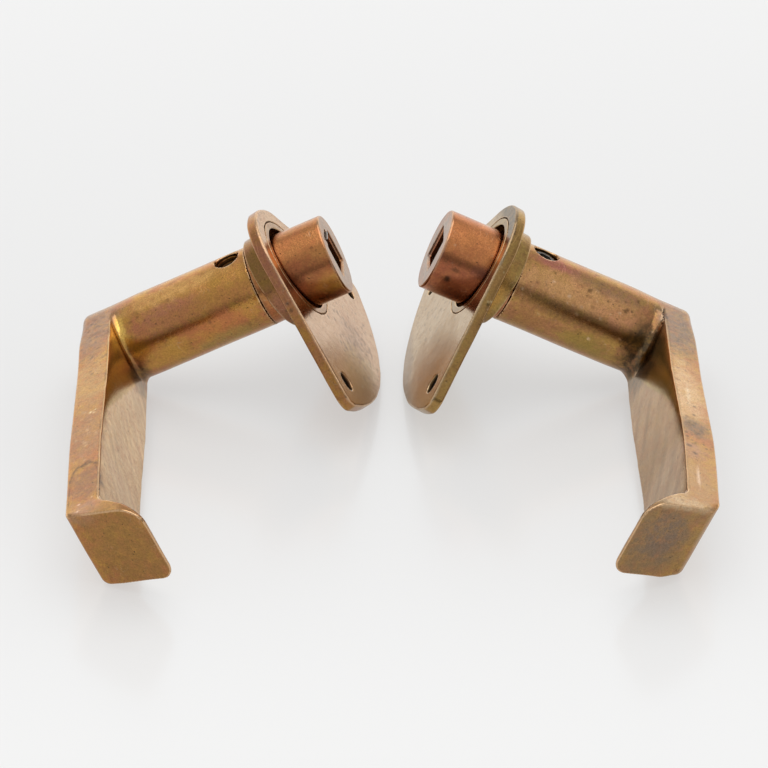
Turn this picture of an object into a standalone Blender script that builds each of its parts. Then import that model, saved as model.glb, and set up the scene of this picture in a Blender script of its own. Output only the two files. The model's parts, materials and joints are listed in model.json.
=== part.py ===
"""A matched pair of bronze lever door handles, set down on a flat surface.

Each handle has its own frame: x runs along the neck towards the door, from the open
end of the spindle socket; y runs along the lever; z is the side the grub screw is on.
The left handle is the mirror image of the right one, so its y is reversed.
Lengths are in millimetres until a mesh is made.
"""
import math

import bmesh
import bpy
from mathutils import Matrix, Vector

for old in list(bpy.data.objects):
    bpy.data.objects.remove(old, do_unlink=True)

MM = 0.001
GAP = 0.3

# Neck and socket sleeve, one 20 mm diameter line from the socket to the bar
NECK_R = 10.05
SLEEVE_R = 10.0
SLEEVE_LENGTH = 19.7
SPIGOT_R = 6.9
SPIGOT_END = 32.7
SOCKET_HALF = 4.15
SOCKET_CORNER_R = 0.5
SOCKET_LEAD_IN = 0.5
KEYWAY_HALF = 2.4
KEYWAY_TOP = 6.5
KEYWAY_SHIFT = 0.8
ROUND_SEGMENTS = 64

# Lever bar and its return lip
BAR_INNER = 55.3
BAR_THICKNESS = 8.8
BAR_OUTER = BAR_INNER + BAR_THICKNESS
BAR_HIGH = 9.8
BAR_LOW = 9.9
LOW_SPREAD = 0.004
BAR_LENGTH = 91.5
BEND_START = 25.0
BEND_END = 65.0
TOE_IN_START = 60.0
TOE_IN_END = 95.0
END_SLOPE = 0.513
LIP_TIP = 46.0
LIP_ROOT = 6.6
EDGE_R = 0.5
LIP_TOP_GROWTH = 0.5
LIP_BOTTOM_GROWTH = 0.32
TOE_R = 2.0
NECK_FILLET = 3.0

# Grub screw (M6) and dowel pin, both across the neck
SCREW_HOLE_R = 3.05
SCREW_R = 2.72
SCREW_LENGTH = 4.0
SCREW_HEX_R = 1.73
SCREW_HEX_DEPTH = 2.0
PIN_X = 28.5
PIN_R = 1.25
PIN_TOP = 4.8
PIN_END = 9.6

# Rose plate and the bush pressed in its bore
ROSE_THICKNESS = 2.9
ROSE_TOP_R = 16.7
ROSE_SPREAD = 0.566
ROSE_BASE_R = 56.2
ROSE_BASE_CENTRE = -20.3
ROSE_CORNER_R = 3.5
ROSE_EDGE = 0.35
ROSE_HOLE_R = 2.4
ROSE_HOLE_Y = 25.9
ROSE_HOLE_Z = -21.65
COUNTERSINK_R = 4.3
COUNTERSINK_DEPTH = 1.7
BUSH_R = 12.9
COLLAR_R = 12.0
COLLAR_LENGTH = 4.4
BUSH_BORE_R = 11.15
BUSH_LENGTH = ROSE_THICKNESS + COLLAR_LENGTH

# Thin spring leaf in the left socket's keyway
SHIM_THICKNESS = 0.45
SHIM_HALF_WIDTH = 1.9
SHIM_LENGTH = 16.0
SHIM_PROUD = 0.35
SHIM_BOW = 0.35

# How each handle lies: rose tilt and turn on the neck, its place along the neck, how far the
# bar stands off, leans out, is bent and turns back in at the toe, where the grub screw is
# along the neck, how many degrees it leans back and how high its top is, the heading and the
# place of the socket end
HANDLES = (
    dict(name="left", hand=-1, tilt=10.0, turn=3.5, rose_x=10.2,
         stand_off=-0.3, lean=0.002, bend=0.7, toe_in=0.3,
         screw_x=24.5, screw_lean=2.0, screw_top=7.5,
         heading=2.2, socket_end=(-11.9, 1.1), keyway=True),
    dict(name="right", hand=1, tilt=6.4, turn=0.6, rose_x=11.6,
         stand_off=0.3, lean=0.023, bend=0.9, toe_in=1.0,
         screw_x=25.0, screw_lean=7.0, screw_top=8.8,
         heading=178.3, socket_end=(11.9, 0.0), keyway=False),
)

FINISHES = {
    "lever": ((0.36, 0.22, 0.08), 0.36),
    "sleeve": ((0.42, 0.20, 0.09), 0.34),
    "rose": ((0.42, 0.30, 0.18), 0.42),
    "bush": ((0.38, 0.25, 0.11), 0.38),
    "grub_screw": ((0.16, 0.15, 0.14), 0.45),
    "dowel_pin": ((0.40, 0.38, 0.35), 0.40),
    "shim": ((0.55, 0.52, 0.47), 0.35),
}


def material(slot):
    """One metal per kind of piece."""
    name = "metal_" + slot
    if name in bpy.data.materials:
        return bpy.data.materials[name]
    colour, roughness = FINISHES[slot]
    metal = bpy.data.materials.new(name)
    metal.use_nodes = True
    shader = metal.node_tree.nodes["Principled BSDF"]
    shader.inputs["Base Color"].default_value = (*colour, 1.0)
    shader.inputs["Roughness"].default_value = roughness
    shader.inputs["Metallic"].default_value = 1.0
    return metal


# ---------------------------------------------------------------- outlines and solids

def arc(centre, radius, start, end, steps):
    """Points along a circular arc, both ends included, angles in radians."""
    angles = [start + (end - start) * i / steps for i in range(steps + 1)]
    return [(centre[0] + radius * math.cos(t), centre[1] + radius * math.sin(t)) for t in angles]


def rounded_box(low, high, radii, steps=4):
    """A rectangle with a radius of its own at each corner, anticlockwise from the low corner."""
    (x0, y0), (x1, y1) = low, high
    corners = ((x0, y0, 1, 1), (x1, y0, -1, 1), (x1, y1, -1, -1), (x0, y1, 1, -1))
    points = []
    for turn, ((x, y, sx, sy), radius) in enumerate(zip(corners, radii)):
        start = math.pi + turn * math.pi / 2
        points += arc((x + sx * radius, y + sy * radius), radius, start, start + math.pi / 2, steps)
    return points


def loft(rings):
    """A closed solid through rings of points of equal number, capped at both ends."""
    solid = bmesh.new()
    loops = [[solid.verts.new(point) for point in ring] for ring in rings]
    for near, far in zip(loops, loops[1:]):
        for i in range(len(near)):
            j = (i + 1) % len(near)
            solid.faces.new((near[i], near[j], far[j], far[i]))
    solid.faces.new(loops[0])
    solid.faces.new(loops[-1])
    bmesh.ops.recalc_face_normals(solid, faces=solid.faces)
    return solid


def prism(outline, x0, x1):
    """An outline in y and z, extruded along x."""
    return loft([[(x, y, z) for y, z in outline] for x in (x0, x1)])


def lathe(profile, closed=False, segments=ROUND_SEGMENTS):
    """A profile of (x, radius) points turned about the x axis.

    An open profile starts and ends on the axis; a closed one goes round a bore.
    """
    solid = bmesh.new()
    verts = [solid.verts.new((x, radius, 0.0)) for x, radius in profile]
    pairs = list(zip(verts, verts[1:]))
    if closed:
        pairs.append((verts[-1], verts[0]))
    edges = [solid.edges.new(pair) for pair in pairs]
    bmesh.ops.spin(solid, geom=verts + edges, cent=(0, 0, 0), axis=(1, 0, 0),
                   angle=2 * math.pi, steps=segments, use_duplicate=False)
    bmesh.ops.remove_doubles(solid, verts=solid.verts, dist=0.001)
    bmesh.ops.recalc_face_normals(solid, faces=solid.faces)
    return solid


def across(x, radius, z0, z1, segments=24):
    """A round bar across the neck, along z."""
    solid = lathe([(z0, 0), (z0, radius), (z1, radius), (z1, 0)], segments=segments)
    bmesh.ops.transform(solid, verts=solid.verts,
                        matrix=Matrix.Translation((x, 0, 0)) @ Matrix.Rotation(-math.pi / 2, 4, "Y"))
    return solid


def add_object(name, solid, hand, slot, parent):
    """Make an object in its handle's frame, mirrored for the left hand."""
    matrix = Matrix.Diagonal((MM, hand * MM, MM, 1))
    bmesh.ops.transform(solid, matrix=matrix, verts=solid.verts)
    if hand < 0:
        bmesh.ops.reverse_faces(solid, faces=solid.faces)
    mesh = bpy.data.meshes.new(name)
    solid.to_mesh(mesh)
    solid.free()
    mesh.shade_smooth()
    mesh.set_sharp_from_angle(angle=math.radians(30))
    obj = bpy.data.objects.new(name, mesh)
    bpy.context.collection.objects.link(obj)
    obj.parent = parent
    if slot:
        mesh.materials.append(material(slot))
    else:
        obj.hide_render = True
        obj.display_type = "WIRE"
    return obj


def combine(obj, tool, operation):
    """Join a tool to a piece, or cut it out, without using the tool up."""
    step = obj.modifiers.new(tool.name, "BOOLEAN")
    step.operation = operation
    step.object = tool
    step.solver = "EXACT"


# ---------------------------------------------------------------- the lever casting

def toe_sections():
    """How far back from the end face each section is, and how far its inner side reaches."""
    return (
        (LIP_ROOT + 2.4, BAR_INNER),
        (LIP_ROOT, BAR_INNER - 0.1),
        (LIP_ROOT - 0.5, BAR_INNER - 0.45),
        (LIP_ROOT - 1.0, BAR_INNER - 1.2),
        (LIP_ROOT - 3.6, LIP_TIP + 1.9),
        (LIP_ROOT - 4.4, LIP_TIP + 0.5),
        (LIP_ROOT - 5.3, LIP_TIP),
        (EDGE_R, LIP_TIP),
        (0.0, LIP_TIP + EDGE_R),
    )


def ease(value, low, high):
    """0 below low, 1 above high, smooth between."""
    t = min(max((value - low) / (high - low), 0.0), 1.0)
    return t * t * (3 - 2 * t)


def bar_shift(spec, y):
    """How far out the bar lies at y: neither bar is quite straight."""
    outward = spec["stand_off"] + spec["lean"] * y + spec["bend"] * ease(y, BEND_START, BEND_END)
    return outward - spec["toe_in"] * ease(y, TOE_IN_START, TOE_IN_END)


def bar_section(back, inner, slope, spec, inset=0.0):
    """One section of the bar, in a plane that leans as the end face does."""
    proud = BAR_INNER - inner
    near_end = min(max((14.0 - back) / 10.0, 0.0), 1.0)
    radii = (
        EDGE_R + (TOE_R - EDGE_R) * near_end,
        EDGE_R + LIP_BOTTOM_GROWTH * proud,
        EDGE_R + LIP_TOP_GROWTH * proud,
        EDGE_R,
    )
    down = BAR_LOW + LOW_SPREAD * (BAR_LENGTH - back)
    low = (-BAR_OUTER + inset, -down + inset)
    high = (-inner, BAR_HIGH - inset)
    ring = []
    for x, z in rounded_box(low, high, radii):
        y = BAR_LENGTH - back + slope * (x + BAR_OUTER)
        ring.append((x - bar_shift(spec, y), y, z))
    return ring


def bar_rings(spec):
    """Sections of the bar from the neck to the end face."""
    steps = 6
    bend_y = [BEND_START + (BEND_END - BEND_START) * i / steps for i in range(steps + 1)]
    rings = [bar_section(BAR_LENGTH - y, BAR_INNER, 0.0, spec) for y in [0.0] + bend_y]
    rings.append(bar_section(14.0, BAR_INNER, END_SLOPE * 0.8, spec))
    for back, inner in toe_sections():
        inset = EDGE_R if back == 0.0 else 0.0
        rings.append(bar_section(back, inner, END_SLOPE, spec, inset))
    return rings


def neck_solid(stand_off):
    """The round neck, bored for the sleeve's spigot, running on to the bar's outer face."""
    start = -SLEEVE_LENGTH - GAP
    end = -BAR_OUTER - stand_off + 0.05
    bore_r = SPIGOT_R + GAP
    bore_end = -SPIGOT_END - GAP
    return lathe([
        (end, 0),
        (end, NECK_R - EDGE_R),
        (end + EDGE_R, NECK_R),
        (start - 0.25, NECK_R),
        (start, NECK_R - 0.25),
        (start, bore_r),
        (bore_end, bore_r),
        (bore_end, 0),
    ])


def fillet_ring(face):
    """A ring with a hollow quarter-round, to blend the neck into the bar's inner face."""
    corner = (face + NECK_FILLET, NECK_R + NECK_FILLET)
    hollow = arc(corner, NECK_FILLET, math.pi, 1.5 * math.pi, 6)
    deep = face - 1.0
    under = NECK_R - 1.0
    profile = [(deep, under), (deep, corner[1])] + hollow + [(corner[0], under)]
    return lathe(profile, closed=True)


def screw_axis(spec):
    """Turns and moves something made along z onto the grub screw's axis."""
    lean = Matrix.Rotation(math.radians(spec["screw_lean"]), 4, "X")
    return Matrix.Translation((-spec["screw_x"], 0, 0)) @ lean


def make_lever(spec, parent):
    name, hand = spec["name"], spec["hand"]
    face = -BAR_INNER - spec["stand_off"]
    lever = add_object(name + "_lever", neck_solid(spec["stand_off"]), hand, "lever", parent)
    bar = add_object(name + "_bar_tool", loft(bar_rings(spec)), hand, None, parent)
    fillet = add_object(name + "_fillet_tool", fillet_ring(face), hand, None, parent)
    trim_outline = rounded_box((0.0, -BAR_LOW), (NECK_R + 6, BAR_HIGH), (0.1,) * 4, 1)
    trim = add_object(name + "_fillet_trim", prism(trim_outline, face - 0.8, face + 5), hand, None, parent)
    combine(fillet, trim, "INTERSECT")
    combine(lever, bar, "UNION")
    combine(lever, fillet, "UNION")
    hole = across(0, SCREW_HOLE_R, SPIGOT_R - 1.5, NECK_R + 3)
    bmesh.ops.transform(hole, verts=hole.verts, matrix=screw_axis(spec))
    combine(lever, add_object(name + "_screw_hole", hole, hand, None, parent), "DIFFERENCE")
    pin_hole = across(-PIN_X, PIN_R + GAP, -NECK_R - 1, -SPIGOT_R + 1.5, 16)
    combine(lever, add_object(name + "_pin_hole", pin_hole, hand, None, parent), "DIFFERENCE")
    return lever


# ---------------------------------------------------------------- inside the neck

def make_sleeve(spec, parent):
    """The turned sleeve with the square socket, and the spigot that goes into the neck."""
    name, hand = spec["name"], spec["hand"]
    body = lathe([
        (0, 0),
        (0, SLEEVE_R - EDGE_R),
        (-EDGE_R, SLEEVE_R),
        (-SLEEVE_LENGTH + 0.25, SLEEVE_R),
        (-SLEEVE_LENGTH, SLEEVE_R - 0.25),
        (-SLEEVE_LENGTH, SPIGOT_R),
        (-SPIGOT_END, SPIGOT_R),
        (-SPIGOT_END, 0),
    ])
    sleeve = add_object(name + "_socket_sleeve", body, hand, "sleeve", parent)
    half = SOCKET_HALF
    square = rounded_box((-half, -half), (half, half), (SOCKET_CORNER_R,) * 4, 3)
    combine(sleeve, add_object(name + "_socket_cut", prism(square, 1, -SPIGOT_END - 1), hand, None, parent),
            "DIFFERENCE")
    wide = half + SOCKET_LEAD_IN + 0.4
    mouth = rounded_box((-wide, -wide), (wide, wide), (SOCKET_CORNER_R + SOCKET_LEAD_IN,) * 4, 3)
    lead_in = loft([[(0.4, y, z) for y, z in mouth], [(-SOCKET_LEAD_IN, y, z) for y, z in square]])
    combine(sleeve, add_object(name + "_lead_in_cut", lead_in, hand, None, parent), "DIFFERENCE")
    if spec["keyway"]:
        low = (KEYWAY_SHIFT - KEYWAY_HALF, 0)
        high = (KEYWAY_SHIFT + KEYWAY_HALF, KEYWAY_TOP)
        key = prism(rounded_box(low, high, (0.6,) * 4, 3), 1, -SLEEVE_LENGTH + 1.5)
        combine(sleeve, add_object(name + "_keyway_cut", key, hand, None, parent), "DIFFERENCE")
    room = across(0, SCREW_HOLE_R + GAP, 0, SPIGOT_R + 2)
    bmesh.ops.transform(room, verts=room.verts, matrix=screw_axis(spec))
    combine(sleeve, add_object(name + "_screw_room", room, hand, None, parent), "DIFFERENCE")
    pin_room = across(-PIN_X, PIN_R + GAP, -SPIGOT_R - 1, 0, 16)
    combine(sleeve, add_object(name + "_pin_room", pin_room, hand, None, parent), "DIFFERENCE")


def make_grub_screw(spec, parent):
    """A set screw with a hexagon socket, made along z with its origin at its top."""
    name, hand = spec["name"], spec["hand"]
    chamfer = 0.5
    body = lathe([
        (0, 0),
        (0, SCREW_R - 0.3),
        (-0.3, SCREW_R),
        (-SCREW_LENGTH + chamfer, SCREW_R),
        (-SCREW_LENGTH, SCREW_R - chamfer),
        (-SCREW_LENGTH, 0),
    ], segments=32)
    upright = Matrix.Rotation(-math.pi / 2, 4, "Y")
    bmesh.ops.transform(body, verts=body.verts, matrix=upright)
    screw = add_object(name + "_grub_screw", body, hand, "grub_screw", parent)
    hexagon = arc((0, 0), SCREW_HEX_R, 0, 2 * math.pi * 5 / 6, 5)
    key = prism(hexagon, -SCREW_HEX_DEPTH, 1)
    bmesh.ops.transform(key, verts=key.verts, matrix=upright)
    tool = add_object(name + "_hex_cut", key, hand, None, parent)
    combine(screw, tool, "DIFFERENCE")
    lean = hand * math.radians(spec["screw_lean"])
    across_neck, along_z = -math.sin(lean) * spec["screw_top"], math.cos(lean) * spec["screw_top"]
    top = Vector((-spec["screw_x"], across_neck, along_z))
    for piece in (screw, tool):
        piece.location = top * MM
        piece.rotation_euler = (lean, 0, 0)


def make_dowel_pin(spec, parent):
    pin = across(-PIN_X, PIN_R, -PIN_END, -PIN_TOP, 16)
    add_object(spec["name"] + "_dowel_pin", pin, spec["hand"], "dowel_pin", parent)


def make_shim(spec, parent):
    """A bowed leaf that takes up the spindle's play, standing just proud of the socket."""
    rings = []
    steps = 10
    for i in range(steps + 1):
        t = i / steps
        x = SHIM_PROUD - t * SHIM_LENGTH
        z = KEYWAY_TOP - 1.15 + SHIM_BOW * math.cos(2 * math.pi * t)
        low = (KEYWAY_SHIFT - SHIM_HALF_WIDTH, z - SHIM_THICKNESS / 2)
        high = (KEYWAY_SHIFT + SHIM_HALF_WIDTH, z + SHIM_THICKNESS / 2)
        rings.append([(x, y, height) for y, height in rounded_box(low, high, (0.15,) * 4, 1)])
    add_object(spec["name"] + "_socket_shim", loft(rings), spec["hand"], "shim", parent)


# ---------------------------------------------------------------- rose and bush

def rose_outline():
    """A round top, two spreading flanks, rounded feet and a shallow curved base (y, z)."""
    normal = Vector((math.cos(ROSE_SPREAD), math.sin(ROSE_SPREAD)))
    along = Vector((math.sin(ROSE_SPREAD), -math.cos(ROSE_SPREAD)))
    base = Vector((0.0, -ROSE_BASE_CENTRE))
    start = normal * (ROSE_TOP_R - ROSE_CORNER_R)
    offset = start - base
    reach = ROSE_BASE_R - ROSE_CORNER_R
    half = offset.dot(along)
    foot = start + along * (-half + math.sqrt(half * half - offset.dot(offset) + reach * reach))
    toward = foot - base
    foot_end = math.atan2(toward.y, toward.x)
    side = arc((0, 0), ROSE_TOP_R, math.pi / 2, ROSE_SPREAD, 14)
    side += arc(foot, ROSE_CORNER_R, ROSE_SPREAD, foot_end, 7)
    side += arc(base, ROSE_BASE_R, foot_end, -math.pi / 2, 7)[1:]
    other = [(-y, z) for y, z in reversed(side[1:-1])]
    return side + other


def make_rose(spec, parent):
    """The fan-shaped plate; its origin is the middle of the bore on the door side."""
    name, hand = spec["name"], spec["hand"]
    rose = add_object(name + "_rose_plate", prism(rose_outline(), 0, -ROSE_THICKNESS), hand, "rose", parent)
    bevel = rose.modifiers.new("soft_edges", "BEVEL")
    bevel.width = ROSE_EDGE * MM
    bevel.segments = 1
    bevel.limit_method = "ANGLE"
    bevel.angle_limit = math.radians(50)
    bore = prism(arc((0, 0), BUSH_R + GAP, 0, 2 * math.pi * 63 / 64, 63), 1, -ROSE_THICKNESS - 1)
    combine(rose, add_object(name + "_rose_bore", bore, hand, None, parent), "DIFFERENCE")
    for side, y in (("near", ROSE_HOLE_Y), ("far", -ROSE_HOLE_Y)):
        front = -ROSE_THICKNESS
        hole = lathe([
            (1, 0),
            (1, ROSE_HOLE_R),
            (front + COUNTERSINK_DEPTH, ROSE_HOLE_R),
            (front - 0.5, COUNTERSINK_R + 0.5),
            (front - 0.5, 0),
        ], segments=32)
        bmesh.ops.translate(hole, verts=hole.verts, vec=(0, y, ROSE_HOLE_Z))
        combine(rose, add_object(name + "_" + side + "_screw_cut", hole, hand, None, parent), "DIFFERENCE")


def make_bush(spec, parent):
    """A ring pressed in the rose from the door side, going on in front as a collar."""
    flush = -ROSE_THICKNESS
    front = -BUSH_LENGTH
    edge = 0.3
    ring = lathe([
        (0, BUSH_BORE_R + edge),
        (0, BUSH_R - 0.1),
        (-0.1, BUSH_R),
        (flush, BUSH_R),
        (flush, COLLAR_R),
        (front + edge, COLLAR_R),
        (front, COLLAR_R - edge),
        (front, BUSH_BORE_R + edge),
        (front + edge, BUSH_BORE_R),
        (-edge, BUSH_BORE_R),
    ], closed=True)
    add_object(spec["name"] + "_rose_bush", ring, spec["hand"], "bush", parent)


def rose_matrix(spec):
    """The bush's place in the handle's frame, cocked on the neck about the middle of its length."""
    tilt = math.radians(spec["tilt"])
    rise = BUSH_LENGTH / 2 * math.sin(tilt)
    turn = Matrix.Rotation(spec["hand"] * math.radians(spec["turn"]), 4, "X")
    place = Matrix.Translation((-spec["rose_x"] * MM, 0, rise * MM))
    return place @ Matrix.Rotation(-tilt, 4, "Y") @ turn


def rose_axis(spec, handle):
    """An empty on the axis that the rose turns about."""
    axis = bpy.data.objects.new(spec["name"] + "_rose_axis", None)
    bpy.context.collection.objects.link(axis)
    axis.parent = handle
    axis.matrix_local = rose_matrix(spec)
    return axis


# ---------------------------------------------------------------- setting the handles down

def resting_up(groups):
    """The upward direction of a rigid piece that stands on one point of each of three groups."""
    up = Vector((0.4, 0.0, 0.9)).normalized()
    for _ in range(8):
        heel, toe, foot = (min(group, key=up.dot) for group in groups)
        up = (toe - heel).cross(foot - heel).normalized()
        if up.z < 0:
            up = -up
    return up, min(up.dot(point) for group in groups for point in group)


def set_down(spec, handle):
    """Stand the handle on its bar's outer edge and its rose, and turn it to its heading."""
    hand = spec["hand"]
    rings = [[Vector((x, hand * y, z)) * MM for x, y, z in ring] for ring in bar_rings(spec)]
    toe = [point for ring in rings[1:] for point in ring]
    rims = (-ROSE_EDGE, ROSE_EDGE - ROSE_THICKNESS)
    rose = [rose_matrix(spec) @ (Vector((x, hand * y, z)) * MM) for x in rims for y, z in rose_outline()]
    up, lowest = resting_up((rings[0], toe, rose))
    forward = (Vector((1, 0, 0)) - up * up.x).normalized()
    side = up.cross(forward)
    level = Matrix((forward, side, up)).to_4x4()
    heading = Matrix.Rotation(math.radians(spec["heading"]), 4, "Z")
    place = Vector((spec["socket_end"][0] * MM, spec["socket_end"][1] * MM, -lowest))
    handle.matrix_world = Matrix.Translation(place) @ heading @ level


def centre_on_origin(handles):
    """Move both handles so that the box round them stands on the origin."""
    bpy.context.view_layer.update()
    corners = [piece.matrix_world @ vert.co for piece in bpy.data.objects
               if piece.type == "MESH" and not piece.hide_render or piece.name.endswith("_bar_tool")
               for vert in piece.data.vertices]
    middle = [(min(c[i] for c in corners) + max(c[i] for c in corners)) / 2 for i in range(2)]
    floor = min(c.z for c in corners)
    for handle in handles:
        handle.location -= Vector((middle[0], middle[1], floor))


def main():
    handles = []
    for spec in HANDLES:
        handle = bpy.data.objects.new(spec["name"] + "_handle", None)
        bpy.context.collection.objects.link(handle)
        make_lever(spec, handle)
        make_sleeve(spec, handle)
        make_grub_screw(spec, handle)
        make_dowel_pin(spec, handle)
        if spec["keyway"]:
            make_shim(spec, handle)
        axis = rose_axis(spec, handle)
        make_rose(spec, axis)
        make_bush(spec, axis)
        set_down(spec, handle)
        handles.append(handle)
    centre_on_origin(handles)
    bpy.context.view_layer.update()


main()
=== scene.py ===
"""The finished look of a pair of old bronze lever handles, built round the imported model.

Each handle has its own frame, read from the record's joints and mounts: x runs along the
neck towards the door from the socket's open end, y along the lever, z to the grub screw's
side. The left handle is the mirror image of the right one. Shapes are distance fields in
millimetres: a field is negative inside the metal, and a net of quads is pulled onto its
zero level, so every edge has the soft rounding of worn metal.
"""
import json
import math

import bpy
import numpy as np
from mathutils import Matrix, Vector


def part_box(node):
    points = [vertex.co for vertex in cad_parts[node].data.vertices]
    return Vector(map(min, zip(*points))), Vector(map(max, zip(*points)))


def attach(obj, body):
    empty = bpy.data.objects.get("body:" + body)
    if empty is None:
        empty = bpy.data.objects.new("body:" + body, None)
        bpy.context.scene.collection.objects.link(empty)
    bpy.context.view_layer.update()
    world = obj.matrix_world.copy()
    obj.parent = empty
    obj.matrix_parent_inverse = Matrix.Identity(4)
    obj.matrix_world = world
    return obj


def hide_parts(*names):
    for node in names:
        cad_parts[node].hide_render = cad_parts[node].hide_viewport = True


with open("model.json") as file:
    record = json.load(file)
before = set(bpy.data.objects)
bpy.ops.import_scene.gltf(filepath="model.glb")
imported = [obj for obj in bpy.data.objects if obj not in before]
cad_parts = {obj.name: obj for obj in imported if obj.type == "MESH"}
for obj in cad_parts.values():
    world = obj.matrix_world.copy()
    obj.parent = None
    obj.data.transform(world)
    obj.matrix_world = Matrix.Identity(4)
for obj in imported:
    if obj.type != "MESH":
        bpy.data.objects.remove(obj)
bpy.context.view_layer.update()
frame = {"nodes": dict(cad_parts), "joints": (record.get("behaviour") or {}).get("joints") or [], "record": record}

MM = 0.001

# Neck and socket sleeve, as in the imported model
NECK_R = 10.05
NECK_START = 19.75
SLEEVE_R = 10.0
SLEEVE_LENGTH = 19.7
SPIGOT_R = 6.9
SPIGOT_END = 32.7
SPIGOT_OVERLAP = 2.0
SOCKET_HALF = 4.15
SOCKET_CORNER = 0.5
SOCKET_MOUNT_DROP = 7.5
MOUTH_DEPTH = 0.6
MOUTH_FLARE = 0.45
KEYWAY_HALF = 2.4
KEYWAY_TOP = 6.5
KEYWAY_SHIFT = 0.8
KEYWAY_CORNER = 0.6
KEYWAY_STOP = 1.5
GAP = 0.3

# Hub: where along the neck it widens, and how far its round edge goes along the bar
HUB_START = -48
HUB_END = -56
HUB_TURN = 5
HUB_LENGTH = 14

# Lever bar and its return lip
BAR_INNER = 55.3
BAR_OUTER = 64.05
BAR_HIGH = 9.8
BAR_LOW = 9.9
LOW_SPREAD = 0.004
BAR_LENGTH = 91.45
BEND_START = 25.0
BEND_END = 65.0
TOE_IN_START = 60.0
TOE_IN_END = 95.0
TOE_START = 14
TOE_REACH = 10
END_SLOPE = 0.513
CORNER_DEPTH = 6
LIP_TIP = 46.05
LIP_SLOPE = 0.93
LIP_BACK = 3.0
LIP_BACK_X = 47.9
LIP_FILLET = 1.3
LIP_WEAR = 0.8
ROLL_LENGTH = 2.5
FILLET_REACH = (1, 5)
FILLET_LENGTH = 20

# Grub screw (M6) and its hole
SCREW_HOLE_R = 3.05
SCREW_HOLE_END = 3.6
SCREW_R = 2.72
SCREW_LENGTH = 4.0
THREAD_PITCH = 1.0
HOLE_THREAD = 0.09
SCREW_THREAD = 0.16
HEXAGON_HALF = 1.5
HEXAGON_DEPTH = 2.0

# Rose plate and bush
ROSE_THICKNESS = 2.9
ROSE_TOP_R = 16.65
ROSE_SPREAD = 0.566
ROSE_BASE_R = 56.15
ROSE_BASE_CENTRE = 20.3
ROSE_CORNER_R = 3.5
ROSE_GAP = 0.18
ROSE_HOLE_R = 2.4
ROSE_HOLE_Y = 25.9
ROSE_HOLE_Z = -21.65
COUNTERSINK_DEPTH = 1.7
COUNTERSINK_SLOPE = 1.1
COUNTERSINK_STEEPNESS = 0.7
BUSH_R = 12.9
COLLAR_R = 12.0
BUSH_BORE_R = 11.15
BUSH_LENGTH = 7.3
BUSH_LOSS = 0.02

# Edge radii
HUB_R = 2.0
EDGE_R = 0.6
TOE_R = 1.9
LIP_TOP_R = 5.2
LIP_BOTTOM_R = 3.5
CRISP_R = 0.12
SEAM_R = 0.15
CUT_R = 0.2
MOUTH_R = 0.25
SOFT_R = 0.3

# Wear of edges, then metal worn off all over: middle and spread, seed, wave length
LEVER_WEAR = (0.42, 0.16, 0, 9)
SLEEVE_WEAR = (0.45, 0.12, 2, 7)
ROSE_WEAR = (0.5, 0.14, 4, 8)
BUSH_WEAR = (0.32, 0.1, 6, 6)
LEVER_LOSS = (0.05, 0.035, 20, 17)
SLEEVE_LOSS = (0.03, 0.02, 30, 11)
ROSE_LOSS = (0.03, 0.03, 40, 15)
SEAM_KEEP = 0.3
SEAM_EASE = 1.5

# Each handle: how far its bar stands off, leans out, is bent, turns back in at the toe and
# rolls off along its edge; the fillet at its neck and the wear of its end's corner; where the
# grub screw is and how many degrees it leans back; the pale film inside the bar, and the deep
# gold beside the neck, partly a painted reflection of the neck
HANDLES = (
    dict(name="left", hand=-1, stand_off=-0.3, lean=0.002, bend=0.7, toe_in=0.3, roll=0.5,
         fillet=1.2, corner=0.4, screw_x=24.5, screw_lean=2.0, keyway=True, seed=3,
         film_and_reflection=((0.62, 0.44, 0.25), (0.74, 0.50, 0.16))),
    dict(name="right", hand=1, stand_off=0.3, lean=0.023, bend=0.9, toe_in=1.0, roll=0.75,
         fillet=2.2, corner=2.2, screw_x=25.0, screw_lean=7.0, keyway=False, seed=8,
         film_and_reflection=((0.38, 0.26, 0.155), (0.58, 0.47, 0.21))),
)

# The gold wedge inside the bar, partly a film and partly a painted reflection of the neck: its
# lower edge rises from the neck, then runs level, and it fades out along the bar; the brushing's
# way beside it, its stretch and its wave length
WEDGE_SLOPE = 0.4
WEDGE_LOW = -10.2
WEDGE_HIGH = 8.2
WEDGE_FADE = (70, 40)
BRUSH_WAY = (0.9, 0.43)
BRUSH_STRETCH = 0.06
BRUSH_LENGTH = 2

# Colours of the metal and of its tarnish, and of the painted highlight on its edges and the painted shade in its
# holes
GOLD = (0.46, 0.245, 0.06)
OCHRE = (0.42, 0.215, 0.05)
OLIVE = (0.34, 0.225, 0.07)
COPPER = (0.46, 0.165, 0.065)
ORANGE = (0.56, 0.22, 0.08)
ROSY = (0.40, 0.16, 0.10)
MAUVE = (0.27, 0.165, 0.115)
CREAM = (0.50, 0.35, 0.235)
# Worn edges, also painted lighter as a highlight
WORN_EDGE_AND_HIGHLIGHT = (0.72, 0.48, 0.28)
BROWN = (0.17, 0.09, 0.035)
SOOT = (0.035, 0.022, 0.013)
# Painted shade deep in the holes
HOLE_SHADE = (0.012, 0.009, 0.006)
SCREW_STEEL = (0.16, 0.15, 0.14)
PIN_STEEL = (0.45, 0.43, 0.40)
GLANCING_TINT = (0.95, 0.905, 0.85, 1)
BRONZE_ROUGHNESS = 0.19
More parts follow.
